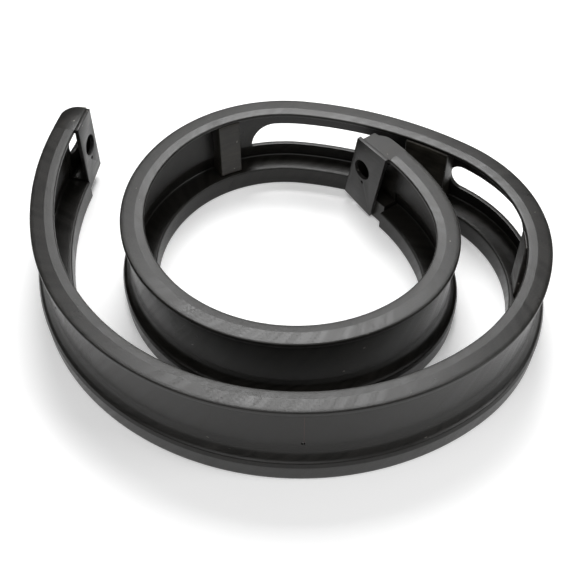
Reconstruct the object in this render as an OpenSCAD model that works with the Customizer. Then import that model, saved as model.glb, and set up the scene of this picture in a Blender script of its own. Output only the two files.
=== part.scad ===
// Moulded rubber channel seal, coiled on edge, for the lower frame of a flat vehicle windscreen.
// The strip stands on its thick base. The route of its outer top edge is a chain of tangent arcs,
// and every piece is placed by its distance along that route, its depth inwards and its height.

/* [Section] */
// Height of the strip, from its base to the top of its flange
strip_h = 66; // [60:1:76]
// Width of the top flange
flange_w = 16; // [14:0.5:18]
// Thickness of the top flange
flange_t = 3.5; // [2.5:0.5:5]
// Distance that the web's outer face stands back under the flange
web_setback = 2.5; // [1.5:0.5:3.5]
// Thickness of the web
web_t = 3; // [2:0.5:4]
// Height of the thick base
base_h = 15; // [12:1:17]
// Depth of the base's inner face from the flange's outer edge
base_in = 19.5; // [18:0.5:22]
// Distance that the base's ridge stands out past the flange's outer edge
base_out = 4.5; // [3:0.5:6]
// Height at which the hollow curve of the outer face runs into the web
cove_top = 26; // [22:1:28]

/* [Windows] */
// Lowest edge of both windows in the web
window_low = 28; // [26:1:30]
// Height of both windows
window_h = 20; // [16:1:22]
// Length of the window nearer the outer end
window_right_l = 84; // [60:1:86]
// Length of the window nearer the inner end
window_left_l = 115; // [80:1:116]
// Radius of each window's end beside the middle dam
window_round = 10; // [6:1:10]

/* [Dams] */
// Length of the middle dam
dam_middle_l = 36; // [28:1:38]
// Length of the dam beside the outer run
dam_right_l = 20; // [14:1:22]
// Length of the dam beside the inner run
dam_left_l = 20; // [14:1:22]
// Depth of the dams' inner faces from the flange's outer edge
dam_in = 17; // [15:0.5:18]

/* [End blocks] */
// Length of the hollow block that closes the outer end
block_outer_l = 26; // [24:1:28]
// Length of the hollow block that closes the inner end, at the middle of its height
block_inner_l = 36.5; // [35:0.5:38]
// Length of the flange over each block
block_flange_l = 27; // [26:0.5:28]
// Height of the step under the outer block
block_outer_step = 8; // [5:1:10]
// Height of the step under the inner block, which reaches over the base of the coil beside it
block_inner_step = 16.5; // [16:0.5:18]
// Lowest height of each block's inner floor
block_floor = 17; // [16:1:20]
// Radius of the bore through each end block
bore_r = 8; // [5:0.5:8]
// Height of the bores' axes
bore_z = 40; // [34:1:42]
// Distance of the outer bore's axis from its splice
bore_outer_x = 14.5; // [12:0.5:15]
// Distance of the inner bore's axis from its splice
bore_inner_x = 24.5; // [22:0.5:26]
// Thickness of the plate over each block's mouth
plate_t = 3; // [2.5:0.5:4]
// Length of the plate at the outer end
plate_outer_l = 26; // [25:1:30]
// Length of the plate at the inner end
plate_inner_l = 31; // [30:1:36]
// Distance of the inner plate from its splice, at the middle of its height
plate_inner_x = 6.5; // [5.5:0.5:7]
// Rake of the inner block's and plate's ends, in degrees from upright
plate_rake = 10; // [0:1:10]

/* [Hidden] */
$fn = 64;

// Route of the flange's outer edge, always turning left: radius and sweep of each arc
arcs = [[252, 26], [182, 113.5], [137, 42.5], [109, 61], [251, 29.5], [108, 61], [118, 168.5],
        [90, 63.5], [160, 22]];
// Where the route starts, and its heading there
route_start = [-169.9, 108.2];
route_heading = -101;

function arc_length(i) = arcs[i][0] * arcs[i][1] * PI / 180;
function left_of(heading) = [-sin(heading), cos(heading)];
// Distance, heading and place at the start of arc i
function arc_from(i) = i == 0 ? 0 : arc_from(i - 1) + arc_length(i - 1);
function arc_heading(i) = i == 0 ? route_heading : arc_heading(i - 1) + arcs[i - 1][1];
function arc_centre(i) = arc_place(i) + arcs[i][0] * left_of(arc_heading(i));
function arc_place(i) = i == 0 ? route_start
    : arc_centre(i - 1) - arcs[i - 1][0] * left_of(arc_heading(i));
route_l = arc_from(len(arcs));

// The arc that holds the distance s, and the heading and place there
function arc_at(s, i = 0) = i == len(arcs) - 1 || s < arc_from(i + 1) + 0.01 ? i : arc_at(s, i + 1);
function turn_in(i, s) = (s - arc_from(i)) / arcs[i][0] * 180 / PI;
function heading_at(s) = let (i = arc_at(s)) arc_heading(i) + turn_in(i, s);
function place_at(s) = let (i = arc_at(s)) arc_centre(i) - arcs[i][0] * left_of(heading_at(s));
// Distance a share of the way along arc i
function along(i, share) = arc_from(i) + arc_length(i) * share;

// Distances along the route: splices between the runs, dams and windows
splice = [0, arc_from(1), along(1, 1 / 3), along(1, 2 / 3), arc_from(2), arc_from(3), 743,
          arc_from(6), along(6, 1 / 3), along(6, 2 / 3), arc_from(7), arc_from(8), route_l];
splice_gap = 0.2;
dam_right_s = 578;
dam_middle_s = 719;
dam_left_s = 878;
window_right_s = 618;
window_left_s = 750;

web_in = web_setback + web_t;
web_foot = 2;
flange_low = strip_h - flange_t;
edge_r = 1;
vent_r = 1.4;
// How far the windows' round ends bulge past their edges and lap over their straight stretch,
// and how far the quarter rounds' axes lie below their lower edges
end_bulge = 0.1;
end_lap = 3;
end_drop = 1;
overshoot = 6;
block_mouth = flange_w;
block_corner = 12;
// The inner block's foot, which fills in under its floor beside the splice
foot_l = 24;
foot_low = 1;
plate_outer_low = block_outer_step - 1;
plate_inner_low = 2;
plate_top = strip_h - 0.6;
// How far a plate's lower edge climbs towards its free end
plate_climb = 4;
rubber = [0.14, 0.14, 0.13];
plate_rubber = [0.22, 0.22, 0.21];
dam_rubber = [0.18, 0.18, 0.17];

// Outline of the strip in depth and height. The cove is a quarter of an ellipse.
module channel_outline() {
    cove = [for (a = [0 : 15 : 90])
        [-base_out + 1 + (web_setback + base_out - 1) * sin(a),
         base_h + 1 + (cove_top - base_h - 1) * (1 - cos(a))]];
    polygon(concat(
        [[-base_out + 0.5, 0], [-base_out, base_h - 1.5]],
        cove,
        [[web_setback, flange_low - 3], [web_setback + 1, flange_low - 2],
         [web_setback + 1, flange_low], [0.5, flange_low], [0, flange_low + 0.5],
         [0, strip_h - edge_r], [edge_r, strip_h], [flange_w * 0.62, strip_h],
         [flange_w - edge_r, strip_h - 1], [flange_w, strip_h - 1 - edge_r],
         [flange_w, flange_low + 0.5], [flange_w - 0.5, flange_low], [web_in, flange_low],
         [web_in, cove_top + 2], [web_foot, base_h], [base_in - edge_r, base_h],
         [base_in, base_h - edge_r], [base_in, 0]]));
}

// Sweeps a 2D outline of depth and height round an arc, from the origin along x, turning left
module arc_sweep(radius, l) {
    translate([0, radius, 0])
        rotate(-90)
            rotate_extrude(angle = l / radius * 180 / PI, $fn = 180)
                translate([radius, 0])
                    mirror([1, 0])
                        children();
}

// Sweeps an outline along the route between two distances, over one arc or the end of one
// arc and the start of the next, which are drawn both ways from where they meet
module sweep_along(s_from, s_to) {
    i = arc_at(s_to);
    meet = arc_from(i);
    if (s_from < meet - 0.01)
        at_route(meet) {
            arc_sweep(arcs[i][0], s_to - meet)
                children();
            mirror([1, 0, 0])
                arc_sweep(arcs[i - 1][0], meet - s_from)
                    children();
        }
    else
        at_route(s_from)
            arc_sweep(arcs[i][0], s_to - s_from)
                children();
}

// Moves a solid drawn at the origin to distance s, with x ahead, y inwards and z up
module at_route(s) {
    translate(place_at(s))
        rotate(heading_at(s))
            children();
}

module rect(low, high) {
    translate(low)
        square(high - low);
}

// One stretch of plain channel between two splices
module run(k) {
    sweep_along(splice[k] + splice_gap / 2, splice[k + 1] - splice_gap / 2)
        channel_outline();
}

// Round hole through the web, along the depth
module web_hole(s, z, r) {
    at_route(s)
        translate([0, web_in + overshoot, z])
            rotate([90, 0, 0])
                cylinder(h = web_in + 2 * overshoot, r = r);
}

// Window with a full round beside the middle dam and a quarter round at its far end.
// side is 1 where the far end lies ahead, and -1 where it lies behind.
module window_cut(s, l, side) {
    round_s = s + side * window_round;
    quarter_s = s + side * (l - window_h);
    sweep_along(min(round_s, quarter_s), max(round_s, quarter_s))
        rect([-overshoot, window_low], [web_in + overshoot, window_low + window_h]);
    web_hole(round_s, window_low + window_round, window_round + end_bulge);
    intersection() {
        web_hole(quarter_s, window_low - end_drop, window_h + end_drop + end_bulge);
        at_route(quarter_s)
            translate([side > 0 ? -end_lap : -window_h - 1, -overshoot,
                       window_low + end_bulge])
                cube([window_h + 1 + end_lap, web_in + 2 * overshoot, window_h + 1]);
    }
}

module dam(s, l) {
    color(dam_rubber)
        sweep_along(s, s + l)
            polygon([[web_in, cove_top + 2], [web_foot, base_h], [dam_in - 2, base_h],
                     [dam_in, base_h + 2], [dam_in, flange_low], [web_in, flange_low]]);
}

// Hollow block that closes an end of the strip, drawn from its splice towards the free end
// along x. l is its length at the middle of its height, and tilt its free end's rake as a slope.
module end_block(l, step, tilt, bore_x, foot) {
    floor_z = max(block_floor, step + web_t - 0.5);
    color(rubber)
        difference() {
            translate([splice_gap / 2, 0, 0]) {
                difference() {
                    block_core(0, l, tilt, step, flange_low);
                    translate([-1, 0, 0])
                        block_core(web_t, l + 1, tilt, floor_z, flange_low + 1);
                }
                translate([0, 0, flange_low])
                    linear_extrude(flange_t - 0.6)
                        block_plan(0, block_mouth, block_flange_l, block_corner);
                if (foot)
                    translate([0, 0, foot_low])
                        linear_extrude(step - foot_low)
                            block_plan(web_setback, block_mouth, foot_l, block_corner);
            }
            bore_cut(bore_x);
        }
}

// Solid with a block's outline, drawn in by an inset, between two heights
module block_core(inset, l, tilt, low, top) {
    reach_l = l + block_reach(low, tilt);
    intersection() {
        translate([0, 0, low])
            linear_extrude(top - low)
                block_plan(web_setback + inset, inset > 0 ? base_in : block_mouth, reach_l - inset,
                           block_corner - inset);
        translate([0, base_in, 0])
            rotate([90, 0, 0])
                linear_extrude(base_in)
                    polygon([[0, low], [reach_l - inset, low],
                             [l - inset + block_reach(top, tilt), top], [0, top]]);
    }
}

// How far a raked end stands ahead of its middle at the height z
function block_reach(z, tilt) = (strip_h / 2 - z) * tilt;

// Plan of a block: a rectangle whose far outer corner is round
module block_plan(near, far, l, corner) {
    rect([0, near + corner], [l, far]);
    rect([0, near], [l - corner, near + corner + 0.01]);
    translate([l - corner, near + corner])
        intersection() {
            circle(r = corner);
            rect([-0.01, -corner], [corner, 0.01]);
        }
}

module bore_cut(x) {
    translate([x, base_in + overshoot, bore_z])
        rotate([90, 0, 0])
            cylinder(h = base_in + 2 * overshoot, r = bore_r);
}

// Flat plate bonded over a block's mouth. Both upright edges share one rake.
module end_plate(x, l, low, tilt, bore_x) {
    color(plate_rubber)
        difference() {
            translate([0, block_mouth + plate_t, 0])
                rotate([90, 0, 0])
                    linear_extrude(plate_t)
                        polygon([[x + block_reach(low, tilt), low],
                                 [x + l + block_reach(low + plate_climb, tilt), low + plate_climb],
                                 [x + l + block_reach(plate_top, tilt), plate_top],
                                 [x + block_reach(plate_top, tilt), plate_top]]);
            bore_cut(bore_x);
        }
}

module outer_end() {
    at_route(0)
        mirror([1, 0, 0])
            children();
}

module inner_end() {
    at_route(route_l)
        children();
}

module duct_channel_right() {
    color(rubber)
        difference() {
            run(5);
            window_cut(window_right_s + window_right_l, window_right_l, -1);
        }
}

module duct_channel_left() {
    color(rubber)
        difference() {
            run(6);
            window_cut(window_left_s, window_left_l, 1);
        }
}

module plain_run(k) {
    color(rubber)
        run(k);
}

// Run with a small vent hole through its web
module vented_run(k, vent_s, vent_z) {
    color(rubber)
        difference() {
            run(k);
            web_hole(vent_s, vent_z, vent_r);
        }
}

outer_end() end_block(block_outer_l, block_outer_step, 0, bore_outer_x, false);  // outer_end_block
outer_end() end_plate(splice_gap, plate_outer_l, plate_outer_low, 0, bore_outer_x);  // outer_end_plate
plain_run(0);  // outer_run_1
vented_run(1, 158, 43);  // outer_run_2
vented_run(2, 352, 30);  // outer_run_3
plain_run(3);  // outer_run_4
plain_run(4);  // outer_run_5
duct_channel_right();
dam(dam_right_s, dam_right_l);  // dam_right
dam(dam_middle_s - dam_middle_l / 2, dam_middle_l);  // dam_middle
duct_channel_left();
dam(dam_left_s, dam_left_l);  // dam_left
plain_run(7);  // inner_run_1
plain_run(8);  // inner_run_2
plain_run(9);  // inner_run_3
plain_run(10);  // inner_run_4
plain_run(11);  // inner_run_5
inner_end() end_block(block_inner_l, block_inner_step, tan(plate_rake), bore_inner_x, true);  // inner_end_block
inner_end() end_plate(plate_inner_x, plate_inner_l, plate_inner_low, tan(plate_rake), bore_inner_x);  // inner_end_plate
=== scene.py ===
import math

import bmesh
import bpy
import numpy as np
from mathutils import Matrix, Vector


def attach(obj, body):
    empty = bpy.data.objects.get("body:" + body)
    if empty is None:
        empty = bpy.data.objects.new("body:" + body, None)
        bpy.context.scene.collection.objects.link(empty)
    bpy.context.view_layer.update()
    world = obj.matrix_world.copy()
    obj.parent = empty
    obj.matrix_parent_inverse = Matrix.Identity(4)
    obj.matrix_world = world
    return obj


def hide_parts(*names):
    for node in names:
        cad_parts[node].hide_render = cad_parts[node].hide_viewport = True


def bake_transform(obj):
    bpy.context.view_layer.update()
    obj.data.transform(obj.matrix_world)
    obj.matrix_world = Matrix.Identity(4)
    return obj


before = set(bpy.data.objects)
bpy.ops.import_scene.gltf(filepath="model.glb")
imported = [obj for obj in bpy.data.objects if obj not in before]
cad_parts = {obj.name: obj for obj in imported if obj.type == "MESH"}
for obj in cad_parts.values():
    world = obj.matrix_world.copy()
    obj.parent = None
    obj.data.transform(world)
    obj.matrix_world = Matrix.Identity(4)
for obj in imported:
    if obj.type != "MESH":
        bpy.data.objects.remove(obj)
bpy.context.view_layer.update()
mm = 0.001


# Colours are written as hex sRGB, and shaders take linear values
def linear(hexColour, alpha=1.0):
    channels = [int(hexColour[i:i + 2], 16) / 255 for i in (1, 3, 5)]
    return (*[c / 12.92 if c <= 0.04045 else ((c + 0.055) / 1.055) ** 2.4 for c in channels], alpha)


# ---- the route of the flange's outer top edge, in millimetres: arcs of (radius, degrees)
route = {
    "arcs": [(252, 26), (182, 113.5), (137, 42.5), (109, 61), (251, 29.5), (108, 61), (118, 168.5),
             (90, 63.5), (160, 22)],
    "start": (-169.9, 108.2),
    "heading": -101,
}


def leftOf(heading):
    a = math.radians(heading)
    return np.array([-math.sin(a), math.cos(a)])


def aheadOf(heading):
    a = math.radians(heading)
    return np.array([math.cos(a), math.sin(a)])


arcStarts = [(0.0, route["heading"], np.array(route["start"], float))]
for radius, degrees in route["arcs"]:
    s0, heading, place = arcStarts[-1]
    centre = place + radius * leftOf(heading)
    arcStarts.append((s0 + radius * math.radians(degrees), heading + degrees,
                      centre - radius * leftOf(heading + degrees)))
routeLength = arcStarts[-1][0]


# Place and heading at a distance along the route, which runs on straight past both ends
def routeAt(s):
    if s <= 0 or s >= routeLength:
        s0, heading, place = arcStarts[0] if s <= 0 else arcStarts[-1]
        return place + (s - s0) * aheadOf(heading), heading
    i = max(k for k in range(len(route["arcs"])) if arcStarts[k][0] <= s)
    s0, heading, place = arcStarts[i]
    radius = route["arcs"][i][0]
    turned = heading + math.degrees((s - s0) / radius)
    return place + radius * leftOf(heading) - radius * leftOf(turned), turned


# A point in metres at a distance along the route, a depth inwards and a height, all in millimetres
def stripPoint(s, depth, height):
    place, heading = routeAt(s)
    x, y = place + depth * leftOf(heading)
    return Vector((x * mm, y * mm, height * mm))


bodies = ["outer_tail", "outer_link_2", "outer_link_3", "outer_link_4", "outer_link_5", "duct_right",
          "duct_left", "inner_link_1", "inner_link_2", "inner_link_3", "inner_link_4", "inner_tail"]
runNodes = ["outer_run_1", "outer_run_2", "outer_run_3", "outer_run_4", "outer_run_5",
            "duct_channel_right", "duct_channel_left", "inner_run_1", "inner_run_2", "inner_run_3",
            "inner_run_4", "inner_run_5"]
# Where the visible pieces part, inside the bodies and clear of the windows and dams
cuts = [0, 57, 174, 294, 415, 526, 608, 871, 995, 1110, 1226, 1333, 1414, routeLength]
print("route", round(routeLength, 1), "mm")


# ---- node helpers
def addNode(tree, kind, place=(0, 0), settings=None, **inputs):
    node = tree.nodes.new(kind)
    node.location = (place[0] * 200, place[1] * -180)
    for key, value in (settings or {}).items():
        setattr(node, key, value)
    for key, value in inputs.items():
        socket = node.inputs[int(key[1:])] if key[0] == "i" and key[1:].isdigit() else node.inputs[key]
        if isinstance(value, bpy.types.NodeSocket):
            tree.links.new(value, socket)
        else:
            socket.default_value = value
    return node


def newMaterial(name):
    material = bpy.data.materials.new(name)
    material.use_nodes = True
    material.node_tree.nodes.clear()
    return material, material.node_tree


rubberLook = {
    "channel": {"dark": "#0f0e0c", "light": "#211f1c", "rough": 0.34, "uv": True, "speck": 0.45},
    "dam": {"dark": "#1a1814", "light": "#33302a", "rough": 0.42, "uv": False, "speck": 0.45},
    "plate": {"dark": "#1b1a19", "light": "#343332", "rough": 0.36, "uv": False, "speck": 0.45},
}


# Satin black moulded rubber: drag lines from the mould, bloom in patches, fine grain and sparse pale
# specks
def rubberMaterial(name, look):
    material, tree = newMaterial(name)
    if look["uv"]:
        coords = addNode(tree, "ShaderNodeUVMap", (-7, 0), {"uv_map": "stripUv"}).outputs["UV"]
        streakScale = (14, 900, 1)
        patchScale = (18, 60, 1)
        grainScale = (2600, 2600, 1)
        speckScale = (420, 420, 1)
    else:
        coords = addNode(tree, "ShaderNodeTexCoord", (-7, 0)).outputs["Object"]
        streakScale = (60, 60, 500)
        patchScale = (60, 60, 60)
        grainScale = (2600, 2600, 2600)
        speckScale = (420, 420, 420)

    def noise(scale, detail, row, rough=0.5):
        mapped = addNode(tree, "ShaderNodeVectorMath", (-6, row), {"operation": "MULTIPLY"},
                         i0=coords, i1=scale)
        return addNode(tree, "ShaderNodeTexNoise", (-5, row), None, Vector=mapped.outputs[0],
                       Scale=1.0, Detail=detail, Roughness=rough).outputs[0]

    streak = noise(streakScale, 3.0, 0)
    patch = noise(patchScale, 4.0, 1)
    grain = noise(grainScale, 1.0, 2)
    speck = noise(speckScale, 0.0, 3)
    both = addNode(tree, "ShaderNodeMath", (-4, 0), {"operation": "MULTIPLY"}, i0=streak, i1=patch)
    bloom = addNode(tree, "ShaderNodeMapRange", (-3, 0), None, i0=both.outputs[0], i1=0.18, i2=0.42,
                    i3=0.0, i4=1.0)
    colour = addNode(tree, "ShaderNodeMix", (-2, 0), {"data_type": "RGBA"}, i0=bloom.outputs[0],
                     i6=linear(look["dark"]), i7=linear(look["light"]))
    # Sparse pale specks scattered over the surface, mixed in towards a pale grey
    speckMask = addNode(tree, "ShaderNodeMapRange", (-3, 3), None, i0=speck, i1=0.84, i2=0.88, i3=0.0,
                   i4=look["speck"])
    speckled = addNode(tree, "ShaderNodeMix", (-1, 0), {"data_type": "RGBA"}, i0=speckMask.outputs[0],
                    i6=colour.outputs[2], i7=linear("#a8a49b"))
    roughness = addNode(tree, "ShaderNodeMapRange", (-3, 1), None, i0=both.outputs[0], i1=0.1,
                        i2=0.45, i3=look["rough"] - 0.08, i4=look["rough"] + 0.14)
    height = addNode(tree, "ShaderNodeMath", (-4, 2), {"operation": "MULTIPLY_ADD"}, i0=streak,
                     i1=1.6, i2=grain)
    bump = addNode(tree, "ShaderNodeBump", (-2, 2), None, Strength=0.22, Distance=0.00012,
                   Height=height.outputs[0])
    shader = addNode(tree, "ShaderNodeBsdfPrincipled", (0, 0), None, Roughness=roughness.outputs[0],
                     Normal=bump.outputs[0])
    tree.links.new(speckled.outputs[2], shader.inputs["Base Color"])
    shader.inputs["Specular IOR Level"].default_value = 0.34
    addNode(tree, "ShaderNodeOutputMaterial", (2, 0), None, Surface=shader.outputs[0])
    return material


def plainMaterial(name, colour, rough, glow=0):
    material, tree = newMaterial(name)
    shader = addNode(tree, "ShaderNodeBsdfPrincipled", (0, 0), None, Roughness=rough)
    shader.inputs["Base Color"].default_value = linear(colour)
    shader.inputs["Emission Color"].default_value = (1, 1, 1, 1)
    shader.inputs["Emission Strength"].default_value = glow
    addNode(tree, "ShaderNodeOutputMaterial", (2, 0), None, Surface=shader.outputs[0])
    return material


channelRubber = rubberMaterial("satinChannelRubber", rubberLook["channel"])  # moulded EPDM, satin
damRubber = rubberMaterial("rubbedDamRubber", rubberLook["dam"])  # rubbed grey by handling
plateRubber = rubberMaterial("smoothPlateRubber", rubberLook["plate"])  # calendered rubber sheet
witnessRubber = plainMaterial("witnessLineRubber", "#3a221c", 0.5)  # red-brown ink of a trim mark
print("materials")


# ---- outlines in depth and height, with a fillet at each corner
def filleted(corners, steps=5):
    points = []
    n = len(corners)
    for k in range(n):
        p = np.array(corners[k][:2], float)
        r = corners[k][2]
        a = np.array(corners[k - 1][:2], float) - p
        b = np.array(corners[(k + 1) % n][:2], float) - p
        la, lb = np.linalg.norm(a), np.linalg.norm(b)
        a, b = a / la, b / lb
        half = math.acos(max(-1.0, min(1.0, float(a @ b)))) / 2
        if r <= 0 or half > 1.55:
            points.append(p)
            continue
        cut = min(r / math.tan(half), la * 0.48, lb * 0.48)
        r = cut * math.tan(half)
        centre = p + (a + b) / np.linalg.norm(a + b) * (r / math.sin(half))
        u, v = p + a * cut - centre, p + b * cut - centre
        turn = math.atan2(u[0] * v[1] - u[1] * v[0], float(u @ v))
        for t in np.linspace(0, turn, steps + 1):
            c, s = math.cos(t), math.sin(t)
            points.append(centre + np.array([c * u[0] - s * u[1], s * u[0] + c * u[1]]))
    return np.array(points)


# Long flat stretches get extra points, so that the strip bends and shades evenly
def refined(points, longest):
    out = []
    for k in range(len(points)):
        a, b = points[k], points[(k + 1) % len(points)]
        n = max(1, math.ceil(float(np.linalg.norm(b - a)) / longest))
        out += [a + (b - a) * i / n for i in range(n)]
    return np.array(out)


channelProfile = {
    "corners": [(-4, 0, 0.8), (-4.5, 13.2, 2.2), (-3.4, 16.2, 1.5), (-1.6, 17.2, 6), (1.6, 21.5, 7),
                (2.5, 27, 9), (2.5, 59.2, 0.6), (3.5, 60.2, 0.4), (3.5, 62.5, 0.5), (0, 62.5, 0.7),
                (0, 66, 1.1), (9.7, 65.9, 1.2), (16, 65, 1.1), (16, 62.5, 0.8),
                (5.5, 62.5, 1.4), (5.5, 28, 8), (2.2, 15, 1.2), (19.5, 15, 1.3), (19.5, 0, 0.8)],
    "longest": 2.5,
}
damProfile = {
    "corners": [(5.0, 30, 0), (1.8, 14.6, 0), (15.2, 14.6, 0), (17, 16.8, 0.8), (17, 62.7, 0),
                (5.0, 62.7, 0)],
    "longest": 3,
}


# ---- Geometry Nodes: a sweep of an outline along stations of the route
def sweepTree():
    tree = bpy.data.node_groups.new("sweepAlongRoute", "GeometryNodeTree")
    face = tree.interface
    for name, kind in (("Geometry", "NodeSocketGeometry"), ("Stations", "NodeSocketObject"),
                       ("Outline", "NodeSocketObject"), ("Station Count", "NodeSocketInt"),
                       ("Outline Count", "NodeSocketInt"), ("Finish", "NodeSocketMaterial")):
        face.new_socket(name=name, in_out="INPUT", socket_type=kind)
    face.new_socket(name="Geometry", in_out="OUTPUT", socket_type="NodeSocketGeometry")
    given = addNode(tree, "NodeGroupInput", (-8, 0)).outputs
    stations = addNode(tree, "GeometryNodeObjectInfo", (-6, 1), None, Object=given["Stations"])
    outline = addNode(tree, "GeometryNodeObjectInfo", (-6, 2), None, Object=given["Outline"])
    grid = addNode(tree, "GeometryNodeMeshGrid", (-5, -1))
    tree.links.new(given["Station Count"], grid.inputs["Vertices X"])
    tree.links.new(given["Outline Count"], grid.inputs["Vertices Y"])
    index = addNode(tree, "GeometryNodeInputIndex", (-6, 4)).outputs[0]
    asFloat = addNode(tree, "ShaderNodeMath", (-5, 4), {"operation": "DIVIDE"}, i0=index,
                      i1=given["Outline Count"])
    row = addNode(tree, "ShaderNodeMath", (-4, 4), {"operation": "FLOOR"}, i0=asFloat.outputs[0])
    column = addNode(tree, "ShaderNodeMath", (-4, 5), {"operation": "MODULO"}, i0=index,
                     i1=given["Outline Count"])
    position = addNode(tree, "GeometryNodeInputPosition", (-6, 6)).outputs[0]

    def sample(source, value, at, place, kind="FLOAT_VECTOR"):
        return addNode(tree, "GeometryNodeSampleIndex", place, {"data_type": kind},
                       Geometry=source, Value=value, Index=at).outputs[0]

    def named(name, kind, place):
        return addNode(tree, "GeometryNodeInputNamedAttribute", place, {"data_type": kind},
                       Name=name).outputs[0]

    place = sample(stations.outputs["Geometry"], position, row.outputs[0], (-3, 1))
    inward = sample(stations.outputs["Geometry"], named("inward", "FLOAT_VECTOR", (-4, 7)),
                    row.outputs[0], (-3, 2))
    distance = sample(stations.outputs["Geometry"], named("distance", "FLOAT", (-4, 8)),
                      row.outputs[0], (-3, 3), "FLOAT")
    corner = sample(outline.outputs["Geometry"], position, column.outputs[0], (-3, 4))
    parts = addNode(tree, "ShaderNodeSeparateXYZ", (-2, 4), None, Vector=corner).outputs
    pushed = addNode(tree, "ShaderNodeVectorMath", (-1, 2), {"operation": "SCALE"}, i0=inward,
                     Scale=parts[0])
    lifted = addNode(tree, "ShaderNodeCombineXYZ", (-1, 3), None, Z=parts[1])
    moved = addNode(tree, "ShaderNodeVectorMath", (0, 2), {"operation": "ADD"},
                    i0=pushed.outputs[0], i1=lifted.outputs[0])
    final = addNode(tree, "ShaderNodeVectorMath", (1, 2), {"operation": "ADD"}, i0=moved.outputs[0],
                    i1=place)
    uv = addNode(tree, "ShaderNodeCombineXYZ", (0, 4), None, X=distance, Y=parts[2])
    stored = addNode(tree, "GeometryNodeStoreNamedAttribute", (1, 0),
                     {"data_type": "FLOAT2", "domain": "CORNER"}, Geometry=grid.outputs["Mesh"],
                     Name="stripUv", Value=uv.outputs[0])
    shaped = addNode(tree, "GeometryNodeSetPosition", (2, 0), None,
                     Geometry=stored.outputs["Geometry"], Position=final.outputs[0])
    merged = addNode(tree, "GeometryNodeMergeByDistance", (3, 0), None,
                     Geometry=shaped.outputs[0], Distance=1e-7)
    real = addNode(tree, "GeometryNodeRealizeInstances", (4, 0), None, Geometry=merged.outputs[0])
    finish = addNode(tree, "GeometryNodeSetMaterial", (5, 0), None, Geometry=real.outputs[0],
                     Material=given["Finish"])
    out = addNode(tree, "NodeGroupOutput", (6, 0))
    tree.links.new(finish.outputs[0], out.inputs[0])
    return tree


sweep = sweepTree()


def pointCloud(name, points):
    mesh = bpy.data.meshes.new(name)
    mesh.from_pydata([tuple(p) for p in points], [], [])
    obj = bpy.data.objects.new(name, mesh)
    bpy.context.collection.objects.link(obj)
    return obj


def outlineObject(name, points):
    closed = np.vstack([points, points[:1]])
    run = np.concatenate([[0], np.cumsum(np.linalg.norm(np.diff(closed, axis=0), axis=1))])
    return pointCloud(name, np.c_[closed, run] * mm)


def setInput(modifier, tree, name, value):
    for item in tree.interface.items_tree:
        if item.in_out == "INPUT" and item.name == name:
            modifier[item.identifier] = value


# The evaluated object as a plain mesh, with its helpers removed
def baked(obj, name):
    bpy.context.view_layer.update()
    mesh = bpy.data.meshes.new_from_object(obj.evaluated_get(bpy.context.evaluated_depsgraph_get()))
    mesh.name = name
    old = obj.data
    plain = bpy.data.objects.new(name, mesh)
    bpy.context.collection.objects.link(plain)
    bpy.data.objects.remove(obj)
    if old.users == 0:
        bpy.data.meshes.remove(old)
    return plain


def closeEnds(obj):
    work = bmesh.new()
    work.from_mesh(obj.data)
    rim = [e for e in work.edges if e.is_boundary]
    bmesh.ops.holes_fill(work, edges=rim, sides=0)
    bmesh.ops.recalc_face_normals(work, faces=work.faces)
    work.to_mesh(obj.data)
    work.free()


def swept(name, outlineObj, count, sFrom, sTo, step, material):
    n = max(2, math.ceil((sTo - sFrom) / step) + 1)
    distances = np.linspace(sFrom, sTo, n)
    stations = pointCloud(name + "Stations", [stripPoint(s, 0, 0) for s in distances])
    inward = stations.data.attributes.new("inward", "FLOAT_VECTOR", "POINT")
    for i, s in enumerate(distances):
        inward.data[i].vector = (*leftOf(routeAt(s)[1]), 0)
    along = stations.data.attributes.new("distance", "FLOAT", "POINT")
    along.data.foreach_set("value", (distances * mm).astype(np.float32))
    obj = pointCloud(name + "Base", [(0, 0, 0)])
    modifier = obj.modifiers.new("sweep", "NODES")
    modifier.node_group = sweep
    setInput(modifier, sweep, "Stations", stations)
    setInput(modifier, sweep, "Outline", outlineObj)
    setInput(modifier, sweep, "Station Count", n)
    setInput(modifier, sweep, "Outline Count", count)
    setInput(modifier, sweep, "Finish", material)
    plain = baked(obj, name)
    bpy.data.objects.remove(stations)
    closeEnds(plain)
    return plain


# ---- cutters: prisms through the web, from an outline in distance and height
def webCutter(name, outline, near, far):
    work = bmesh.new()
    rings = [[work.verts.new(stripPoint(s, d, z)) for s, z in outline] for d in (near, far)]
    n = len(outline)
    for k in range(n):
        work.faces.new((rings[0][k], rings[0][(k + 1) % n], rings[1][(k + 1) % n], rings[1][k]))
    work.edges.ensure_lookup_table()
    for ring in rings:
        edges = [work.edges.get((ring[k], ring[(k + 1) % n])) for k in range(n)]
        bmesh.ops.triangle_fill(work, edges=edges, use_beauty=True)
    bmesh.ops.recalc_face_normals(work, faces=work.faces)
    mesh = bpy.data.meshes.new(name)
    work.to_mesh(mesh)
    work.free()
    obj = bpy.data.objects.new(name, mesh)
    bpy.context.collection.objects.link(obj)
    return obj


def arcPoints(centre, r, fromDeg, toDeg, n):
    return [(centre[0] + r * math.cos(math.radians(a)), centre[1] + r * math.sin(math.radians(a)))
            for a in np.linspace(fromDeg, toDeg, n)]


windows = {
    "right": {"low": 28, "height": 20, "roundEnd": 702, "farEnd": 618},
    "left": {"low": 28, "height": 20, "roundEnd": 750, "farEnd": 865},
    "cornerRound": 1.2,
    "near": -2, "far": 9, "easeLow": 27, "easeHigh": 49, "ease": 0.5,
}


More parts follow.
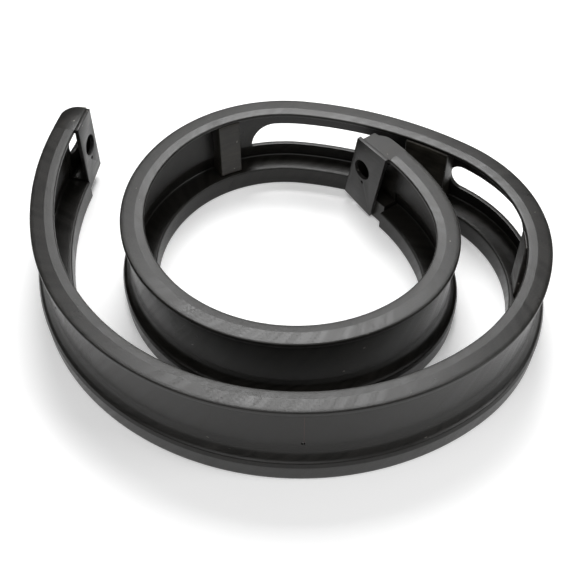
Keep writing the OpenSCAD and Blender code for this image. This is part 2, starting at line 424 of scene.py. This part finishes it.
# A full round beside the middle dam, a quarter round over a sharp corner at the far end
def windowOutline(w):
    side = 1 if w["farEnd"] > w["roundEnd"] else -1
    low, top, half = w["low"], w["low"] + w["height"], w["height"] / 2
    length = abs(w["farEnd"] - w["roundEnd"])
    tiny = windows["cornerRound"]
    shape = arcPoints((half, low + half), half, 90, 270, 25)
    for x in np.arange(half + 2, length - tiny, 2.0):
        shape.append((x, low))
    shape += arcPoints((length - tiny, low + tiny), tiny, -90, 0, 5)
    shape += arcPoints((length - w["height"], low), w["height"], 8, 90, 25)
    for x in np.arange(length - w["height"] - 2, half, -2.0):
        shape.append((x, top))
    return [(w["roundEnd"] + side * x, z) for x, z in shape]


def cut(obj, cutter, operation="DIFFERENCE"):
    modifier = obj.modifiers.new("cut", "BOOLEAN")
    modifier.operation = operation
    modifier.solver = "EXACT"
    modifier.object = cutter
    plain = baked(obj, obj.name.split(".")[0])
    bpy.data.objects.remove(cutter)
    return plain


# Rounds the edges that a test picks out
def eased(obj, width, segments, picks):
    work = bmesh.new()
    work.from_mesh(obj.data)
    weight = work.edges.layers.float.get("bevel_weight_edge") or work.edges.layers.float.new(
        "bevel_weight_edge")
    for edge in work.edges:
        if len(edge.link_faces) == 2 and edge.calc_face_angle(0) > math.radians(38) and picks(edge):
            edge[weight] = 1.0
    work.to_mesh(obj.data)
    work.free()
    modifier = obj.modifiers.new("ease", "BEVEL")
    modifier.limit_method = "WEIGHT"
    modifier.width = width * mm
    modifier.segments = segments
    modifier.use_clamp_overlap = True
    return baked(obj, obj.name.split(".")[0])


# Shades an object smoothly between its sharp edges, in one material
def finished(obj, material):
    obj.data.polygons.foreach_set("use_smooth", [True] * len(obj.data.polygons))
    obj.data.set_sharp_from_angle(angle=math.radians(40))
    obj.data.materials.clear()
    obj.data.materials.append(material)


outlinePoints = refined(filleted(channelProfile["corners"]), channelProfile["longest"])
channelOutline = outlineObject("channelOutline", outlinePoints)
outlineCount = len(outlinePoints) + 1
stationStep = 1.6
vents = [{"s": 158, "z": 43, "r": 1.4}, {"s": 353.6, "z": 30, "r": 1.4}]
strip = []


# Picks the steep edges at the heights of the windows
def nearWindow(edge):
    z = (edge.verts[0].co.z + edge.verts[1].co.z) / 2 / mm
    steep = abs(edge.calc_face_angle(0)) > math.radians(60)
    return windows["easeLow"] < z < windows["easeHigh"] and steep


for k, (sFrom, sTo) in enumerate(zip(cuts, cuts[1:])):
    piece = swept(f"strip{k:02d}", channelOutline, outlineCount, sFrom, sTo,
                  stationStep, channelRubber)
    for key in ("right", "left"):
        w = windows[key]
        ends = sorted((w["farEnd"], w["roundEnd"]))
        if sFrom < ends[0] and ends[1] < sTo:
            piece = cut(piece, webCutter("windowCutter", windowOutline(w), windows["near"],
                                         windows["far"]))
    for vent in vents:
        if sFrom < vent["s"] < sTo:
            ring = arcPoints((vent["s"], vent["z"]), vent["r"], 0, 345, 24)
            piece = cut(piece, webCutter("ventCutter", ring, windows["near"], windows["far"]))
    if sFrom < windows["right"]["roundEnd"] < sTo:
        piece = eased(piece, windows["ease"], 3, nearWindow)
    finished(piece, channelRubber)
    strip.append(piece)
    print("strip", k, len(piece.data.polygons), "faces")

# ---- dams
dams = {
    "dam_right": {"s": 578, "length": 20, "body": "duct_right"},
    "dam_middle": {"s": 701, "length": 36, "body": "duct_right"},
    "dam_left": {"s": 878, "length": 20, "body": "duct_left"},
}
damPoints = refined(filleted(damProfile["corners"]), damProfile["longest"])
damOutline = outlineObject("damOutline", damPoints)
for node, dam in dams.items():
    name = "dam" + node.split("_")[1].capitalize()
    piece = swept(name, damOutline, len(damPoints) + 1, dam["s"], dam["s"] + dam["length"], 2,
                  damRubber)
    piece = eased(piece, 0.9, 3, lambda edge: True)
    finished(piece, damRubber)
    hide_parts(node)
    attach(piece, dam["body"])
print("dams")


# ---- end blocks and plates, in a local frame: x towards the free end, y inwards, z up
def localPoint(outer, x, y, z):
    heading, place = arcStarts[0][1:3] if outer else arcStarts[-1][1:3]
    ahead = -aheadOf(heading) if outer else aheadOf(heading)
    px, py = place + x * ahead + y * leftOf(heading)
    return Vector((px * mm, py * mm, z * mm))


# A prism of a 2D outline. across is "z" for an outline in x and y, or "y" for one in x and z.
def prism(name, outer, outline, low, high, across):
    work = bmesh.new()

    def point(a, b, c):
        return localPoint(outer, a, b, c) if across == "z" else localPoint(outer, a, c, b)

    rings = [[work.verts.new(point(a, b, c)) for a, b in outline] for c in (low, high)]
    n = len(outline)
    for k in range(n):
        work.faces.new((rings[0][k], rings[0][(k + 1) % n], rings[1][(k + 1) % n], rings[1][k]))
    work.faces.new(rings[0])
    work.faces.new(rings[1])
    bmesh.ops.recalc_face_normals(work, faces=work.faces)
    mesh = bpy.data.meshes.new(name)
    work.to_mesh(mesh)
    work.free()
    obj = bpy.data.objects.new(name, mesh)
    bpy.context.collection.objects.link(obj)
    return obj


blocks = {
    "outer": {"length": 26, "step": 8, "floor": 17, "rake": 0, "bore": 14.5, "plateFrom": 0.2,
              "plateLength": 26, "plateLow": 7, "footLength": 0, "body": "outer_tail"},
    "inner": {"length": 36.5, "step": 16.5, "floor": 19, "rake": 10, "bore": 24.5,
              "plateFrom": 6.5, "plateLength": 31, "plateLow": 2, "footLength": 24,
              "body": "inner_tail"},
    "wall": 3, "corner": 12, "mouth": 16, "webSetback": 2.5, "flangeLow": 62.5, "flangeTop": 65.4,
    "flangeLength": 27, "flangeWidth": 16, "footLow": 1, "boreZ": 40, "boreR": 8, "plateT": 3,
    "plateTop": 65.4, "plateClimb": 4, "middle": 33,
}


def blockPlan(near, far, length, corner):
    return [(0, near), (length - corner, near)] + arcPoints(
        (length - corner, near + corner), corner, -90, 0, 18)[1:] + [(length, far), (0, far)]


def buildEnd(side):
    b = blocks[side]
    outer = side == "outer"
    tilt = math.tan(math.radians(b["rake"]))

    def reach(z):
        return (blocks["middle"] - z) * tilt

    def core(inset, length, low, high):
        foot = length + reach(low) - inset
        plan = blockPlan(blocks["webSetback"] + inset, 24 if inset else blocks["mouth"], foot,
                         blocks["corner"] - inset)
        solid = prism(side + "Block", outer, plan, low, high, "z")
        if not tilt:
            return solid
        raked = prism("rake", outer, [(-2, low - 1), (foot + tilt, low - 1),
                                      (length - inset + reach(high + 1), high + 1), (-2, high + 1)],
                      -5, 30, "y")
        return cut(solid, raked, "INTERSECT")

    block = core(0, b["length"], b["step"], blocks["flangeLow"])
    pocket = core(blocks["wall"], b["length"], b["floor"], blocks["flangeLow"] - 0.02)
    pocket.location = -(localPoint(outer, 0.5, 0, 0) - localPoint(outer, 0, 0, 0))
    bpy.context.view_layer.update()
    block = cut(block, pocket)
    top = prism("blockTop", outer, blockPlan(0, blocks["flangeWidth"], blocks["flangeLength"],
                                             blocks["corner"]),
                blocks["flangeLow"] - 0.01, blocks["flangeTop"], "z")
    block = cut(block, top, "UNION")
    if b["footLength"]:
        plan = blockPlan(blocks["webSetback"] + 0.03, blocks["mouth"] - 0.03, b["footLength"],
                         blocks["corner"])
        block = cut(block, prism("blockFoot", outer, plan, blocks["footLow"], b["step"] + 0.2,
                                 "z"), "UNION")
    bore = arcPoints((b["bore"], blocks["boreZ"]), blocks["boreR"], 0, 354.375, 64)
    block = cut(block, prism("bore", outer, bore, -2, 16.9, "y"))
    block = eased(block, 0.7, 3, lambda edge: True)
    finished(block, channelRubberSolid)
    block.name = side + "EndBlock"
    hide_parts(side + "_end_block")
    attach(block, b["body"])

    x, length, low, high = b["plateFrom"], b["plateLength"], b["plateLow"], blocks["plateTop"]
    shape = [(x + reach(low), low), (x + length + reach(low + blocks["plateClimb"]),
                                     low + blocks["plateClimb"]),
             (x + length + reach(high), high), (x + reach(high), high)]
    plate = prism(side + "EndPlate", outer, shape, blocks["mouth"] + 0.02,
                  blocks["mouth"] + blocks["plateT"], "y")
    plate = cut(plate, prism("bore", outer, bore, 10, 30, "y"))
    dimple = arcPoints((b["bore"] - 1, blocks["boreZ"] - 11.5), 1.3, 0, 345, 20)
    plate = cut(plate, prism("dimple", outer, dimple, blocks["mouth"] + blocks["plateT"] - 1, 30,
                             "y"))
    plate = eased(plate, 0.55, 3, lambda edge: True)
    finished(plate, plateRubber)
    plate.name = side + "EndPlate"
    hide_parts(side + "_end_plate")
    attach(plate, b["body"])


channelRubberSolid = rubberMaterial("satinBlockRubber", dict(rubberLook["channel"], uv=False))
for side in ("outer", "inner"):
    buildEnd(side)
print("ends")

# ---- a trim mark down the web at the front
markS, markR = 354.2, 2.5
mark = webCutter("trimMark", [(markS - 0.15, 31), (markS + 0.15, 31), (markS + 0.15, 59),
                              (markS - 0.15, 59)], 2.38, 2.9)
mark.data.materials.append(witnessRubber)
mark.name = "trimMark"

# ---- riding: the end pieces ride their tail bodies, and each piece between them is only baked in place
for obj in (channelOutline, damOutline):
    bpy.data.objects.remove(obj)


def bendAcross(obj):
    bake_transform(obj)


for k, piece in enumerate(strip):
    if k == 0:
        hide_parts(runNodes[0])
        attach(piece, bodies[0])
    elif k == 12:
        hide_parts(runNodes[11])
        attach(piece, bodies[11])
    else:
        if k < 11:
            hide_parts(runNodes[k])
        bendAcross(piece)
bendAcross(mark)
print("riding")

# ---- floor, lights and camera
stage = {"floorColour": "#f4f4f4", "size": 6, "world": 0.2, "glow": 0.2}
floorMesh = bpy.data.meshes.new("floor")
half = stage["size"] / 2
floorMesh.from_pydata([(-half, -half, 0), (half, -half, 0), (half, half, 0), (-half, half, 0)], [],
                      [(0, 1, 2, 3)])
floor = bpy.data.objects.new("floor", floorMesh)
floor.location.z = -0.0003
bpy.context.collection.objects.link(floor)
floor.data.materials.append(plainMaterial("paleFloor", stage["floorColour"], 0.6, stage["glow"]))

world = bpy.data.worlds.new("studio")
bpy.context.scene.world = world
world.use_nodes = True
world.node_tree.nodes["Background"].inputs[0].default_value = (1, 1, 1, 1)
world.node_tree.nodes["Background"].inputs[1].default_value = stage["world"]

lights = [
    {"name": "topSoftbox", "place": (0, 0.62, 1.0), "size": 0.5, "power": 11,
     "aim": (0, -0.1, 0)},
    {"name": "ceiling", "place": (-0.3, -0.7, 2.0), "size": 1.6, "power": 19, "aim": (0, 0, 0)},
    {"name": "rightSoftbox", "place": (0.9, -0.25, 0.75), "size": 0.4, "power": 3.6,
     "aim": (-0.1, 0.05, 0)},
    {"name": "backSoftbox", "place": (0.1, 1.5, 0.9), "size": 0.6, "power": 2,
     "aim": (0, 0, 0)},
]
for spec in lights:
    data = bpy.data.lights.new(spec["name"], "AREA")
    data.size = spec["size"]
    data.energy = spec["power"]
    obj = bpy.data.objects.new(spec["name"], data)
    obj.location = spec["place"]
    towards = Vector(spec["aim"]) - Vector(spec["place"])
    obj.rotation_euler = towards.to_track_quat("-Z", "Y").to_euler()
    bpy.context.collection.objects.link(obj)

cameraData = bpy.data.cameras.new("camera")
cameraData.lens = 58.2
cameraData.sensor_width = 36
camera = bpy.data.objects.new("camera", cameraData)
eye, target = Vector((0.0026, -0.4280, 0.5058)), Vector((0.0026, -0.0483, 0.066))
camera.location = eye
camera.rotation_euler = (target - eye).to_track_quat("-Z", "Y").to_euler()
bpy.context.collection.objects.link(camera)
bpy.context.scene.camera = camera
bpy.context.scene.view_settings.view_transform = "Standard"
